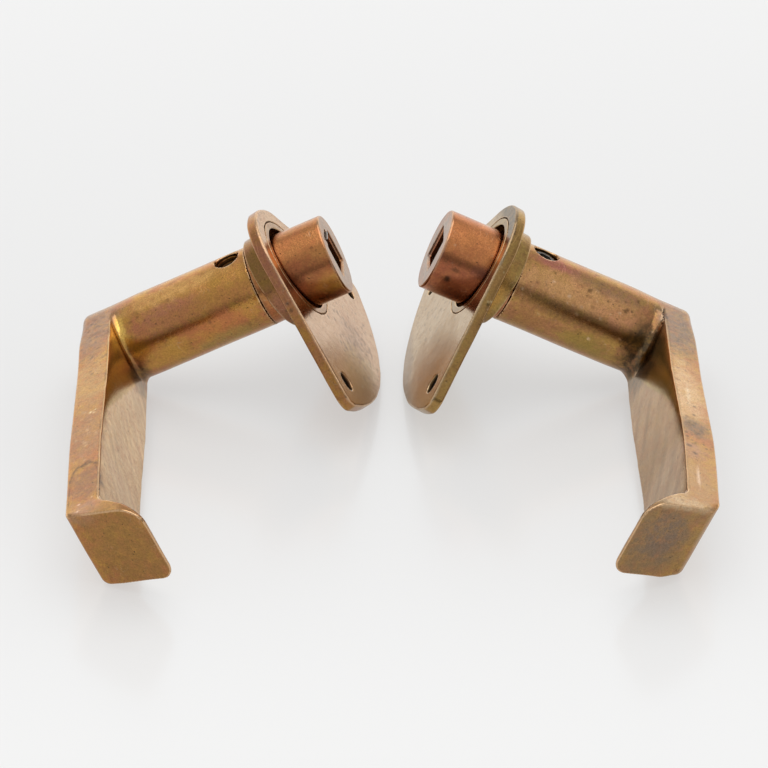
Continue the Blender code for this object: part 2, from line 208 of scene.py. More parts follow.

# Each bronze: its gold, its red and how strongly its worn edges shine, worn and painted as a highlight
BRONZES = {
    "left_lever": (GOLD, (0.42, 0.165, 0.07), 0.65),
    "right_lever": ((0.42, 0.24, 0.07), (0.40, 0.18, 0.085), 0.65),
    "left_socket_sleeve": ((0.42, 0.19, 0.065), (0.36, 0.125, 0.05), 0.3),
    "right_socket_sleeve": ((0.46, 0.18, 0.07), (0.36, 0.12, 0.055), 0.3),
    "left_rose_plate": ((0.34, 0.175, 0.045), (0.34, 0.15, 0.065), 0.3),
    "right_rose_plate": ((0.32, 0.20, 0.065), (0.32, 0.18, 0.065), 0.3),
    "left_rose_bush": ((0.25, 0.135, 0.035), (0.25, 0.11, 0.055), 0.3),
    "right_rose_bush": (OLIVE, (0.28, 0.16, 0.06), 0.3),
}

# Table, lamp and viewer, in metres; the viewer looks from in front and a little above
FLOOR_HALF = 3.0
FLOOR_GREY = (0.255, 0.255, 0.255, 1)
FLOOR_GLOW = (1, 1, 0.995, 1)
GLOW_MIDDLE = (0, 0.25, 0)
VIEWER_SIDE = (0.12, -0.99, 0.02)
LAMP_PLACE = (0.0, 0.2, 1.3)
LAMP_SIZE = 1.6
LAMP_POWER = 11
VIEWER_PLACE = (0.00507, -0.81718, 0.47838)
VIEWER_RIGHT = (0.99991, 0.0, -0.01321)
VIEWER_UP = (0.01152, 0.49025, 0.8715)
LENS = 187.5
SENSOR = 36

# Tarnish on each piece, with some painted highlights and reflections among it: middle and reach in mm in the
# piece's frame, colour, strength
STAINS_AND_PAINTED_LIGHT = {
    "left_lever": (
        ((-27, 6.4, 7.7), (9, 5, 5), GOLD, 0.8),
        ((-42, 7.7, 6.4), (9, 4, 4), ROSY, 0.75),
        # Painted highlight: a light band along the top of the neck
        ((-40, 3, 9.5), (16, 2.8, 2), (0.70, 0.40, 0.14), 0.8),
        ((-46, 9.7, -2.6), (7, 4, 4), GOLD, 0.8),
        ((-31, 10, -0.9), (8, 3, 4), COPPER, 0.7),
        ((-36, 8.7, 5), (14, 2, 3), (0.38, 0.17, 0.06), 0.6),
        ((-30, 8.7, -5), (9, 3, 3), OLIVE, 0.7),
        ((-60, 8, 10), (6, 15, 2.5), (0.26, 0.165, 0.12), 0.8),
        ((-60, 33, 10), (6, 13, 2.5), (0.43, 0.27, 0.12), 0.75),
        ((-60, 57, 10), (6, 15, 2.5), (0.32, 0.18, 0.10), 0.8),
        ((-59.5, 80, 10), (5, 9, 2.5), (0.25, 0.135, 0.08), 0.8),
        ((-59.5, 92, 9), (5, 4, 2.5), (0.40, 0.24, 0.17), 0.7),
        ((-54, 97, 0), (15, 8, 15), (0.28, 0.15, 0.05), 0.85),
        # Painted reflection: the dark of the neck mirrored beside the fillet
        ((-54.5, 10, -5), (2.5, 7, 6), (0.10, 0.055, 0.03), 0.85),
        # Painted highlight: the bright line along the fillet
        ((-53.9, 7, 7), (1.2, 4, 4), (0.80, 0.52, 0.13), 0.85),
        ((-60, 0, 10), (9, 5, 2.2), MAUVE, 0.6),
        ((-19.7, 0, 0), (0.6, 14, 14), (0.12, 0.07, 0.03), 0.8),
    ),
    "right_lever": (
        ((-27, 2.4, 9.7), (6, 2.4, 2.4), (0.42, 0.14, 0.12), 0.8),
        ((-42, 4, 9.2), (10, 3, 3), MAUVE, 0.5),
        ((-34, 7.5, 6.5), (18, 4, 4), (0.64, 0.35, 0.155), 0.75),
        ((-46, 8.5, 5.3), (6, 2.5, 3), (0.54, 0.25, 0.13), 0.7),
        # Painted reflection: a dark band along the neck
        ((-36, 9.8, 1.6), (19, 2, 1.9), BROWN, 0.8),
        ((-42, 9.4, -4), (8, 3, 3.5), (0.30, 0.205, 0.055), 0.8),
        ((-26, 9.6, -3), (5, 3, 4), (0.36, 0.17, 0.07), 0.8),
        ((-54.5, 8, -1), (5, 9, 10), SOOT, 0.9),
        ((-52.5, 9, 2), (3.5, 3, 5), (0.10, 0.065, 0.035), 0.8),
        ((-55.5, 12, 0), (2.5, 9, 10), (0.09, 0.065, 0.04), 0.85),
        ((-60, 10, 10), (6, 14, 2.5), (0.19, 0.145, 0.12), 0.8),
        ((-60, 42, 10), (6, 17, 2.5), (0.58, 0.40, 0.23), 0.75),
        ((-61.5, 57, 10), (4, 4.5, 2.5), (0.17, 0.125, 0.095), 0.8),
        ((-60, 68, 10), (5, 4, 2.5), (0.36, 0.20, 0.14), 0.7),
        ((-60, 82, 10), (6, 12, 2.5), (0.40, 0.25, 0.125), 0.75),
        ((-54, 97, 0), (15, 8, 15), (0.24, 0.16, 0.085), 0.85),
        ((-56, 97, 1), (6, 6, 7), (0.21, 0.145, 0.105), 0.8),
        # Painted highlight: a cream strip along the top of the end
        ((-56, 95, 9.3), (9, 6, 1.2), (0.50, 0.36, 0.22), 0.8),
        ((-60.7, 42, 9.8), (0.5, 5, 0.8), (0.64, 0.50, 0.34), 0.7),
        ((-61.4, 80, 9.8), (0.45, 5, 0.8), (0.66, 0.48, 0.35), 0.75),
    ),
    "left_socket_sleeve": (
        ((-6, 5, 8.6), (12, 5, 3.5), ORANGE, 0.5),
        ((-9, 9.6, 2.5), (8, 4, 4.5), (0.26, 0.085, 0.04), 0.75),
        ((-2.5, 9.6, -2.5), (4, 3, 3.5), GOLD, 0.8),
        ((-19.7, 0, 0), (0.6, 14, 14), (0.12, 0.06, 0.03), 0.8),
        ((0, 0, 0), (0.7, 11, 11), (0.27, 0.20, 0.145), 0.85),
    ),
    "right_socket_sleeve": (
        # Painted highlight: the bright orange on top of the sleeve
        ((-7, 6, 7.9), (11, 6, 5), ORANGE, 0.85),
        ((-8, 9.5, -2.5), (12, 4, 6), (0.27, 0.085, 0.045), 0.8),
        ((-4, 9.8, -1.7), (1, 1, 1), SOOT, 0.8),
        ((-5, 9.9, 1.2), (1.2, 0.8, 0.6), SOOT, 0.6),
        ((-14, 9.2, 3), (5, 2, 2), (0.34, 0.14, 0.11), 0.7),
        ((0, 0, 0), (0.7, 11, 11), (0.23, 0.21, 0.19), 0.85),
    ),
    "left_rose_plate": (
        ((-1.5, 14, 8), (3, 10, 12), (0.30, 0.12, 0.075), 0.8),
        ((0, 0, -10), (0.6, 90, 90), (0.50, 0.335, 0.215), 0.85),
        ((0, -2, -24), (0.6, 9, 6), (0.32, 0.19, 0.125), 0.6),
        ((0, 16, -26), (0.6, 14, 6), (0.36, 0.23, 0.07), 0.85),
        ((0, 8, -30), (0.6, 10, 4), (0.38, 0.26, 0.11), 0.6),
    ),
    "right_rose_plate": (
        ((-2.2, 14, -5), (0.6, 12, 25), BROWN, 0.6),
        ((0, 0, -10), (0.6, 90, 90), (0.44, 0.34, 0.225), 0.85),
        ((0, 0, 14), (0.8, 22, 7), (0.05, 0.044, 0.037), 0.9),
        ((0, 13, -20), (0.6, 12, 10), (0.27, 0.155, 0.05), 0.9),
        ((0, 6, -27), (0.6, 9, 5), (0.32, 0.19, 0.08), 0.75),
        ((0, -2, -34), (0.6, 22, 3.5), (0.22, 0.165, 0.13), 0.7),
    ),
    "left_rose_bush": (
        ((-5, 9, 8), (4, 6, 6), (0.20, 0.115, 0.035), 0.8),
        ((-5, 11, -4), (4, 5, 7), (0.28, 0.12, 0.07), 0.75),
        ((0, 0, 0), (0.6, 14, 14), (0.46, 0.32, 0.22), 0.8),
    ),
    "right_rose_bush": (
        ((-4.5, 11, 0), (2, 6, 8), OCHRE, 0.7),
        ((0, 0, 0), (0.6, 14, 14), (0.20, 0.17, 0.13), 0.8),
    ),
}

# Thin dark outlines where a drop has dried: middle and reach in mm, width, colour
RINGS = {
    "left_lever": (((-59.9, 83, 9.8), (3.7, 11.5, 4), 0.085, (0.10, 0.055, 0.035)),),
}

# Scattered pits and chips: middle and spread in mm, how many, size in mm, colour, strength
SPECKS = {
    "left_lever": (
        ((-58.6, 47, 9.8), (0.7, 0.9, 0.2), 9, 0.4, (0.80, 0.66, 0.44), 0.85),
        ((-60, 89, 9.8), (2.0, 1.8, 0.2), 7, 0.35, (0.78, 0.56, 0.42), 0.8),
        ((-60, 10, 9.8), (2.4, 9, 0.3), 132, 0.5, (0.14, 0.085, 0.06), 0.55),
        ((-60, 52, 9.8), (2.4, 10, 0.2), 40, 0.4, (0.56, 0.37, 0.21), 0.45),
        ((-40, 8, 5), (10, 2.5, 4), 110, 0.45, (0.16, 0.07, 0.035), 0.6),
        ((-35, 9, -4), (9, 1.5, 3), 66, 0.45, (0.17, 0.09, 0.03), 0.6),
        ((-54, 97, 0), (5, 3, 6), 55, 0.4, (0.15, 0.08, 0.03), 0.5),
    ),
    "right_lever": (
        ((-43, 6, 7.8), (6, 2, 1.6), 154, 0.5, (0.10, 0.05, 0.025), 0.75),
        ((-30, 8.4, 5), (7, 1.5, 2.5), 88, 0.4, (0.15, 0.07, 0.04), 0.6),
        ((-35, 8.6, 4), (9, 1.5, 3), 66, 0.4, (0.76, 0.52, 0.34), 0.6),
        ((-55, 8, 0), (1.6, 4, 5), 99, 0.45, (0.42, 0.29, 0.18), 0.7),
        ((-62, 58, 9.8), (2, 5, 0.3), 66, 0.5, (0.11, 0.075, 0.05), 0.7),
        ((-60, 14, 9.8), (2.4, 9, 0.3), 99, 0.5, (0.12, 0.085, 0.065), 0.5),
        ((-56, 97, 0), (5, 3, 6), 66, 0.4, (0.11, 0.075, 0.045), 0.5),
    ),
    "left_socket_sleeve": (
        ((-9, 7, 6), (5, 2, 3), 88, 0.4, (0.10, 0.04, 0.02), 0.65),
    ),
    "right_socket_sleeve": (
        ((-9, 8, 5), (5, 2, 3), 88, 0.35, (0.72, 0.42, 0.25), 0.5),
        ((-9, 9, -2), (5, 2, 3), 66, 0.4, (0.08, 0.035, 0.02), 0.6),
    ),
    "left_rose_plate": (
        ((0, -1, -25), (0.15, 7, 5), 198, 0.5, (0.15, 0.085, 0.05), 0.75),
        ((0, 3, 15), (0.15, 9, 1.5), 44, 0.45, (0.18, 0.11, 0.07), 0.6),
        ((-1.5, 16, 0), (0.8, 5, 12), 110, 0.5, (0.09, 0.05, 0.03), 0.75),
    ),
    "right_rose_plate": (
        ((0, -6, -22), (0.15, 10, 7), 154, 0.45, (0.17, 0.12, 0.075), 0.65),
        ((-1.6, 16, 0), (0.7, 5, 13), 132, 0.45, (0.10, 0.07, 0.03), 0.7),
        ((-1.2, 16, 0), (0.7, 5, 13), 88, 0.4, (0.62, 0.52, 0.30), 0.6),
    ),
    "left_rose_bush": (
        ((-5, 10, 0), (2, 2, 6), 110, 0.45, (0.08, 0.05, 0.025), 0.7),
    ),
    "right_rose_bush": (
        ((-5, 10, 0), (2, 2, 6), 110, 0.45, (0.10, 0.07, 0.03), 0.7),
    ),
}


# ---------------------------------------------------------------- frames from the record

def find(rows, name):
    """The row with the given name."""
    return next(row for row in rows if row["name"] == name)


def from_axes(x, y, z, origin):
    """A placement with the given axes, in millimetres."""
    turn = Matrix((x, y, z)).transposed().to_4x4()
    return Matrix.Translation(origin) @ turn @ Matrix.Diagonal((MM, MM, MM, 1))


def joint_axis(name):
    return Vector(find(frame["joints"], name)["axis"]).normalized()


def mount_place(name):
    return Vector(find(frame["record"]["mounts"], name)["pos_m"])


def handle_frame(spec):
    """Placement of the handle's frame."""
    name = spec["name"]
    x = joint_axis(name + "_bush_slide")
    screw = joint_axis(name + "_screw_travel")
    lean = spec["hand"] * math.radians(spec["screw_lean"])
    z = (math.cos(lean) * screw - math.sin(lean) * x.cross(screw)).normalized()
    end = mount_place(name + "_socket_end") + z * SOCKET_MOUNT_DROP * MM
    return from_axes(x, z.cross(x), z, end)


def rose_frame(name):
    """Placement of the rose's frame: its origin is in the bore, in the face towards the door."""
    x = joint_axis(name + "_rose_swivel")
    centre = Vector(find(frame["joints"], name + "_rose_swivel")["pos_m"])
    z = (centre - mount_place(name + "_rose_door_face")).normalized()
    return from_axes(x, z.cross(x), z, centre)


def screw_frame(name):
    """Placement of the grub screw's frame: z is its axis and the origin is in its outer end."""
    low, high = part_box(name + "_grub_screw")
    axis = joint_axis(name + "_screw_travel")
    end = (low + high) / 2 + axis * SCREW_LENGTH / 2 * MM
    side = axis.orthogonal().normalized()
    return from_axes(side, axis.cross(side), axis, end)


# ---------------------------------------------------------------- distance fields, in mm

def round_in(a, b, radius):
    """Both fields' common part, with its edge rounded."""
    return (np.minimum(-radius, np.maximum(a, b))
            + np.hypot(np.maximum(radius + a, 0), np.maximum(radius + b, 0)))


def round_out(a, b, radius):
    """Two fields joined, with a fillet between them."""
    return (np.maximum(radius, np.minimum(a, b))
            - np.hypot(np.maximum(radius - a, 0), np.maximum(radius - b, 0)))


def ease(value, low, high):
    """0 below low, 1 above high, smooth between; it falls where low is above high."""
    t = np.clip((value - low) / (high - low), 0, 1)
    return t * t * (3 - 2 * t)


def slab(value, low, high):
    """What lies between two planes."""
    return np.maximum(low - value, value - high)


def square(u, v, half_u, half_v, corner):
    """A rectangle about the origin, with rounded corners."""
    du = np.abs(u) - half_u + corner
    dv = np.abs(v) - half_v + corner
    return np.minimum(np.maximum(du, dv), 0) + np.hypot(np.maximum(du, 0), np.maximum(dv, 0)) - corner


def waves(x, y, z, seed, length, count=7):
    """A gentle random unevenness between about -1 and 1, with the given wave length."""
    random = np.random.default_rng(seed)
    total = 0
    for _ in range(count):
        way = random.normal(size=3)
        way *= 2 * math.pi / length / np.linalg.norm(way) * random.uniform(0.6, 1.4)
        total = total + np.sin(way[0] * x + way[1] * y + way[2] * z + random.uniform(0, 6.28))
    return total / math.sqrt(count * 2)


def uneven(x, y, z, spec, wear):
    """One of the rows of wear above, which changes gently from place to place."""
    middle, spread, seed, length = wear
    return middle + spread * waves(x, y, z, spec["seed"] + seed, length)


def screw_hole(x, y, z, spec):
    """The grub screw's threaded hole, open outwards from inside the neck."""
    lean = math.radians(spec["screw_lean"])
    along = math.cos(lean) * z - math.sin(lean) * y
    aside = math.cos(lean) * y + math.sin(lean) * z
    thread = HOLE_THREAD * np.sin(2 * math.pi * along / THREAD_PITCH)
    side = np.hypot(x + spec["screw_x"], aside) - SCREW_HOLE_R + thread
    return np.maximum(side, SCREW_HOLE_END - along)


def bar_shift(spec, y):
    """How far out the bar lies at y: neither bar is quite straight."""
    leaning = spec["stand_off"] + spec["lean"] * np.maximum(y, 0)
    bent = spec["bend"] * ease(y, BEND_START, BEND_END)
    return leaning + bent - spec["toe_in"] * ease(y, TOE_IN_START, TOE_IN_END)


def neck_side(x, y, z):
    """The neck's round side, which widens into the hub."""
    hub_r = BAR_LOW + (BAR_HIGH - BAR_LOW) * ease(z, -HUB_TURN, HUB_TURN)
    return np.hypot(y, z) - NECK_R - (hub_r - NECK_R) * ease(x, HUB_START, HUB_END)


def bar_inside(x, y, z, spec):
    """The bar's face towards the rose, rolled off along its edge."""
    roll = spec["roll"] * np.exp((z - BAR_HIGH) / ROLL_LENGTH)
    return x + bar_shift(spec, y) + BAR_INNER + roll


def bar_outline(x, y, z):
    """The outline of bar and lip as seen along y, with x already shifted."""
    toe = np.clip((y - BAR_LENGTH + TOE_START) / TOE_REACH, 0, 1)
    outer = EDGE_R + (HUB_R - EDGE_R) * ease(y, HUB_LENGTH, 0)
    outer = outer + np.where(z < 0, TOE_R - EDGE_R, 0) * toe
    middle = x + (BAR_OUTER + LIP_TIP) / 2
    corner = np.where(middle > 0, np.where(z > 0, LIP_TOP_R, LIP_BOTTOM_R), outer)
    low = BAR_LOW + LOW_SPREAD * y
    return square(middle, z - (BAR_HIGH - low) / 2, (BAR_OUTER - LIP_TIP) / 2, (BAR_HIGH + low) / 2, corner)


def bar_field(x, y, z, spec, worn):
    """The bar and its return lip."""
    xs = x + bar_shift(spec, y)
    out = xs + BAR_OUTER
    lip_y = BAR_LENGTH - LIP_BACK + END_SLOPE * out + (LIP_SLOPE - END_SLOPE) * (xs + LIP_BACK_X)
    lip = (lip_y - y) / math.hypot(1, LIP_SLOPE)
    profile = round_out(bar_inside(x, y, z, spec), lip, LIP_FILLET)
    near_tip = np.clip((xs + BAR_INNER - 2) / 5, 0, 1)
    bar = round_in(profile, bar_outline(xs, y, z), worn + LIP_WEAR * near_tip)
    end = (y - BAR_LENGTH - END_SLOPE * out) / math.hypot(1, END_SLOPE)
    bar = round_in(bar, end, worn + spec["corner"] * ease(out, CORNER_DEPTH, 1))
    return np.maximum(bar, -y)


def lever_field(x, y, z, spec):
    """Neck, bar and return lip in one casting, bored out for the sleeve's spigot."""
    worn = uneven(x, y, z, spec, LEVER_WEAR)
    side = neck_side(x, y, z)
    neck = round_in(side, -BAR_OUTER - spec["stand_off"] - x, HUB_R)
    neck = round_in(neck, x + NECK_START, SEAM_R)
    near, far = FILLET_REACH
    fillet = round_out(side, bar_inside(x, y, z, spec), spec["fillet"])
    fillet = np.maximum(fillet, slab(x, -BAR_INNER - near, -BAR_INNER + far))
    fillet = np.maximum(fillet, slab(y, 0, FILLET_LENGTH))
    fillet = round_in(fillet, slab(z, -BAR_LOW, BAR_HIGH), worn)
    body = np.minimum(np.minimum(neck, bar_field(x, y, z, spec, worn)), fillet)
    bore = np.maximum(np.hypot(y, z) - SPIGOT_R - GAP, -SPIGOT_END - GAP - x)
    body = round_in(body, -bore, CUT_R)
    body = round_in(body, -screw_hole(x, y, z, spec), CUT_R)
    loss = uneven(x, y, z, spec, LEVER_LOSS)
    return body + loss * ease(np.abs(x + NECK_START), SEAM_KEEP, SEAM_EASE)


def sleeve_field(x, y, z, spec):
    """The turned sleeve, its square socket and, on the left one, the keyway above it."""
    worn = uneven(x, y, z, spec, SLEEVE_WEAR)
    around = np.hypot(y, z)
    end_r = np.where(x < -SLEEVE_LENGTH / 2, CRISP_R, worn)
    body = round_in(around - SLEEVE_R, slab(x, -SLEEVE_LENGTH, 0), end_r)
    spigot = slab(x, -SPIGOT_END, -SLEEVE_LENGTH + SPIGOT_OVERLAP)
    body = np.minimum(body, round_in(around - SPIGOT_R, spigot, SOFT_R))
    half = SOCKET_HALF + MOUTH_FLARE * np.clip((x + MOUTH_DEPTH) / MOUTH_DEPTH, 0, 1)
    hole = square(y, z, half, half, SOCKET_CORNER)
    if spec["keyway"]:
        key = square(y - KEYWAY_SHIFT, z - KEYWAY_TOP / 2, KEYWAY_HALF, KEYWAY_TOP / 2, KEYWAY_CORNER)
        hole = np.minimum(hole, np.maximum(key, -SLEEVE_LENGTH + KEYWAY_STOP - x))
    body = round_in(body, -hole, MOUTH_R)
    body = round_in(body, -(screw_hole(x, y, z, spec) - GAP), CUT_R)
    loss = uneven(x, y, z, spec, SLEEVE_LOSS)
    return body + loss * ease(np.abs(x + SLEEVE_LENGTH), SEAM_KEEP, SEAM_EASE)


def rose_field(x, y, z, spec):
    """The fan-shaped plate with its bore and its two countersunk screw holes."""
    worn = uneven(x, y, z, spec, ROSE_WEAR)
    around = np.hypot(y, z)
    side = np.abs(y) * math.cos(ROSE_SPREAD) + z * math.sin(ROSE_SPREAD) - ROSE_TOP_R
    above = np.arctan2(z, np.abs(y)) > ROSE_SPREAD
    base = np.hypot(y, z - ROSE_BASE_CENTRE) - ROSE_BASE_R
    outline = round_in(np.where(above, around - ROSE_TOP_R, side), base, ROSE_CORNER_R)
    plate = round_in(outline, slab(x, -ROSE_THICKNESS, 0), worn)
    plate = round_in(plate, BUSH_R + ROSE_GAP - around, CRISP_R)
    hole = np.hypot(np.abs(y) - ROSE_HOLE_Y, z - ROSE_HOLE_Z)
    sink = np.maximum(-x - ROSE_THICKNESS + COUNTERSINK_DEPTH, 0) * COUNTERSINK_SLOPE
    plate = round_in(plate, -(hole - ROSE_HOLE_R - sink) * COUNTERSINK_STEEPNESS, MOUTH_R)
    return plate + uneven(x, y, z, spec, ROSE_LOSS)


def bush_field(x, y, z, spec):
    """The ring in the rose's bore, which goes on in front as a collar."""
    around = np.hypot(y, z)
    ring = round_in(around - BUSH_R, slab(x, -ROSE_THICKNESS, 0), CRISP_R)
    front = slab(x, -BUSH_LENGTH, -0.5)
    collar = round_in(around - COLLAR_R, front, uneven(x, y, z, spec, BUSH_WEAR))
    return round_in(np.minimum(ring, collar), BUSH_BORE_R - around, SOFT_R) + BUSH_LOSS


def grub_screw_field(x, y, z, spec):
    """A set screw along z, with a hexagon socket in its top."""
    turns = z / THREAD_PITCH + np.arctan2(y, x) / (2 * math.pi)
    thread = SCREW_THREAD * np.abs((turns % 1.0) * 2 - 1)
    body = round_in(np.hypot(x, y) - SCREW_R + thread, slab(z, -SCREW_LENGTH, 0), SOFT_R)
    slanted = np.abs(x) * math.cos(math.pi / 6) + np.abs(y) / 2
    hexagon = np.maximum(np.abs(y), slanted) - HEXAGON_HALF
    return round_in(body, -np.maximum(hexagon, -HEXAGON_DEPTH - z), CRISP_R)


# ---------------------------------------------------------------- painted shade in the holes, 0 to 1

def no_hole_shade(x, y, z, spec):
    """For a piece whose holes need no darkening."""
    return 0 * x


def hole_shade_lever(x, y, z, spec):
    """How far down the grub screw's hole a point is."""
    around = np.hypot(y, z)
    return ease(screw_hole(x, y, z, spec), 0.5, 0.2) * ease(around, NECK_R - 0.3, NECK_R - 2.5) * 0.6


def socket_shade_sleeve(x, y, z, spec):
    """How far inside the square socket a point is."""
    wall = square(y, z - 1.2, SOCKET_HALF + 0.5, SOCKET_HALF + 1.7, 0.5)
    return ease(wall, 0.4, 0.0) * ease(x, -0.5, -2.5)


def hole_shade_rose(x, y, z, spec):
    """How far down one of the plate's two screw holes a point is."""
    hole = np.hypot(np.abs(y) - ROSE_HOLE_Y, z - ROSE_HOLE_Z)
    return ease(hole, ROSE_HOLE_R + 0.5, ROSE_HOLE_R + 0.2) * ease(x, -0.2, -0.8)


# ---------------------------------------------------------------- tarnish and painted light, in mm

def inner_film_and_reflection(points, spec):
    """How stained the bar's inner face is, and its colour: gold beside the neck, partly a painted reflection of
    the neck, paler beyond.
    """
    x, y, z = points.T
    depth = np.abs(x + bar_shift(spec, y) + BAR_INNER)
    face = ease(depth, 1.0, 0.4) * ease(y, 8, 13) * ease(y, 92, 89)
    line = np.minimum(WEDGE_SLOPE * y + WEDGE_LOW, WEDGE_HIGH)
    line = line + 0.25 * waves(x, y, z, spec["seed"] + 60, 3)
    # Painted reflection, partly film: the gold wedge stands for the neck mirrored in the face
    gold = ease(z - line, -0.3, 0.3) * ease(y, *WEDGE_FADE)
    pale, deep = np.array(spec["film_and_reflection"])
    deep = np.multiply.outer(1 - 0.45 * ease(y, 18, 34), deep)
    across = BRUSH_WAY[0] * z + BRUSH_WAY[1] * y
    along = BRUSH_STRETCH * (BRUSH_WAY[0] * y - BRUSH_WAY[1] * z)
    brushed = waves(across, along, 0, spec["seed"] + 61, BRUSH_LENGTH)
    colour = pale * (1 + 0.16 * brushed[:, None]) * (1 - gold[:, None]) + deep * gold[:, None]
    return 0.8 * face, colour


def tarnish_and_painted_light(points, name, spec):
    """The colour of a piece's stains, with its painted highlights and reflections, and how strong they are, for
    each point.
    """
    x, y, z = points.T
    seed = spec["seed"]
    ragged = 0.14 * waves(x, y, z, seed + 50, 5) + 0.1 * waves(x, y, z, seed + 51, 1.8)
    colour = np.zeros_like(points)
    share = np.zeros(len(points))

    def add(amount, tint):
        nonlocal colour, share
        colour = colour * (1 - amount[:, None]) + amount[:, None] * np.asarray(tint)
        share = share * (1 - amount) + amount

    if name.endswith("lever"):
        add(*inner_film_and_reflection(points, spec))
    for middle, reach, tint, strength in STAINS_AND_PAINTED_LIGHT.get(name, ()):
        distance = np.linalg.norm((points - middle) / reach, axis=1)
        add(strength * ease(distance + ragged, 1.35, 0.4), tint)
    for middle, reach, width, tint in RINGS.get(name, ()):
        distance = np.linalg.norm((points - middle) / reach, ord=3, axis=1)
        line = ease(np.abs(distance + 0.3 * ragged - 1), width, 0)
        add(0.8 * line * ease(y, 90, 86), tint)
    random = np.random.default_rng(seed + 70)
    for middle, spread, count, size, tint, strength in SPECKS.get(name, ()):
        nearest = np.full(len(points), 9.0)
        for _ in range(count):
            place = random.normal(middle, spread)
            radius = size * random.uniform(0.5, 1.3)
            nearest = np.minimum(nearest, np.linalg.norm(points - place, axis=1) / radius)
        add(strength * ease(nearest + ragged, 1.3, 0.5), tint)
    return np.column_stack([colour / np.maximum(share, 0.001)[:, None], share])


# ---------------------------------------------------------------- meshes from fields

NORMAL_REACH = 0.08
BEND_REACH = 0.5
GRAIN_SHIFT = 37.0


def slope(field, points, reach):
    """The field's values at the points, its unit gradient and how steep it is."""
    value = field(*points.T)
    parts = []
    for axis in np.eye(3) * reach:
        parts.append(field(*(points + axis).T) - field(*(points - axis).T))
    gradient = np.stack(parts, axis=1) / (2 * reach)
    length = np.maximum(np.linalg.norm(gradient, axis=1, keepdims=True), 0.2)
    return value, gradient / length, length[:, 0]


def middles(value, active, offsets):
    """The middle of the surface's crossings of each active cell's edges, in cells."""
    at = [value[tuple((active + offset).T)] for offset in offsets]
    total = np.zeros((len(active), 3))
    count = np.zeros((len(active), 1))
    for a, start in enumerate(offsets):
        for b, stop in enumerate(offsets):
            if sum(stop) != sum(start) + 1 or min(np.subtract(stop, start)) < 0:
                continue
            crossed = (at[a] < 0) != (at[b] < 0)
            share = at[a][crossed] / (at[a][crossed] - at[b][crossed])
            total[crossed] += start + share[:, None] * np.subtract(stop, start)
            count[crossed] += 1
    return total / count


def net(field, low, high, step):
    """Points and quads of a net with one point in each cell that the surface crosses."""
    axes = [np.arange(a, b + step, step) for a, b in zip(low, high)]
    value = field(*np.meshgrid(*axes, indexing="ij", sparse=True))
    inside = value < 0
    cells = tuple(n - 1 for n in inside.shape)
    offsets = [(i, j, k) for i in (0, 1) for j in (0, 1) for k in (0, 1)]
    views = [inside[i:i + cells[0], j:j + cells[1], k:k + cells[2]] for i, j, k in offsets]
    filled = sum(view.astype(np.int8) for view in views)
    active = np.argwhere((filled > 0) & (filled < 8))
    index = np.full(cells, -1)
    index[tuple(active.T)] = np.arange(len(active))
    points = np.array(low) + (active + middles(value, active, offsets)) * step
    quads = []
    for axis in range(3):
        order = (axis, (axis + 1) % 3, (axis + 2) % 3)
        here = np.moveaxis(inside, order, (0, 1, 2))
        grid = np.moveaxis(index, order, (0, 1, 2))
        change = np.argwhere(here[:-1, 1:-1, 1:-1] != here[1:, 1:-1, 1:-1])
        i, j, k = (change + (0, 1, 1)).T
        corners = ((-1, -1), (0, -1), (0, 0), (-1, 0))
        ring = np.stack([grid[i, j + b, k + c] for b, c in corners], axis=1)
        quads.append(np.where(here[i, j, k][:, None], ring, ring[:, ::-1]))
    return points, np.concatenate(quads)


def relax(points, quads):
    """Each point moved halfway to the middle of its neighbours."""
    total = np.zeros_like(points)
    count = np.zeros((len(points), 1))
    for turn in range(4):
        near, far = quads[:, turn], quads[:, (turn + 1) % 4]
        np.add.at(total, near, points[far])
        np.add.at(count, near, 1)
    return points * 0.5 + total / count * 0.5


def settle(field, points, quads, step):
    """The net's points spread evenly and pulled onto the surface."""
    for turn in range(3):
        if turn:
            points = relax(points, quads)
        for _ in range(2):
            value, normal, steepness = slope(field, points, step * 0.1)
            move = np.clip(value / steepness, -step, step)
            points = points - move[:, None] * normal
    return points


def sharpness(field, points, value):
    """How sharply the surface bends at each point: above 0 on edges, below 0 in corners."""
    ways = np.concatenate([np.eye(3), -np.eye(3)]) * BEND_REACH
    around = sum(field(*(points + way).T) for way in ways)
    return (around - 6 * value) / BEND_REACH ** 2


def store(mesh, name, kind, key, values):
    """Values kept at the mesh's points for its material."""
    data = mesh.attributes.new(name, kind, "POINT").data
    data.foreach_set(key, np.ravel(values).astype(np.float32))


def build(name, spec, placement, shape, deep, low, high, step):
    """An object whose surface is the shape's zero level, stained, with painted highlights and reflections among
    the stains, and darkened in its holes as painted shade.
    """
    hand = spec["hand"]

    def field(x, y, z):
        return shape(x, y, z, spec)

    points, quads = net(field, low, high, step)
    points = settle(field, points, quads, step)
    value, normal, _ = slope(field, points, NORMAL_REACH)
    mirror = np.array((1, hand, 1))
    turn = np.array(placement.to_3x3()) / MM
    world = points * mirror @ turn.T * MM + np.array(placement.translation)
    mesh = bpy.data.meshes.new(name + "_worn")
    mesh.from_pydata(world.tolist(), [], (quads if hand > 0 else quads[:, ::-1]).tolist())
    mesh.shade_smooth()
    mesh.normals_split_custom_set_from_vertices((normal * mirror @ turn.T).tolist())
    store(mesh, "bend", "FLOAT", "value", sharpness(field, points, value))
    # Painted shade: how deep in a hole each point lies, for the material to darken
    store(mesh, "deep", "FLOAT", "value", deep(*points.T, spec))
    store(mesh, "stain_and_painted_light", "FLOAT_COLOR", "color", tarnish_and_painted_light(points, name, spec))
    store(mesh, "grain", "FLOAT_VECTOR", "vector", points + spec["seed"] * GRAIN_SHIFT)
    piece = bpy.data.objects.new(name + "_worn", mesh)
    bpy.context.scene.collection.objects.link(piece)
    return piece


# ---------------------------------------------------------------- materials

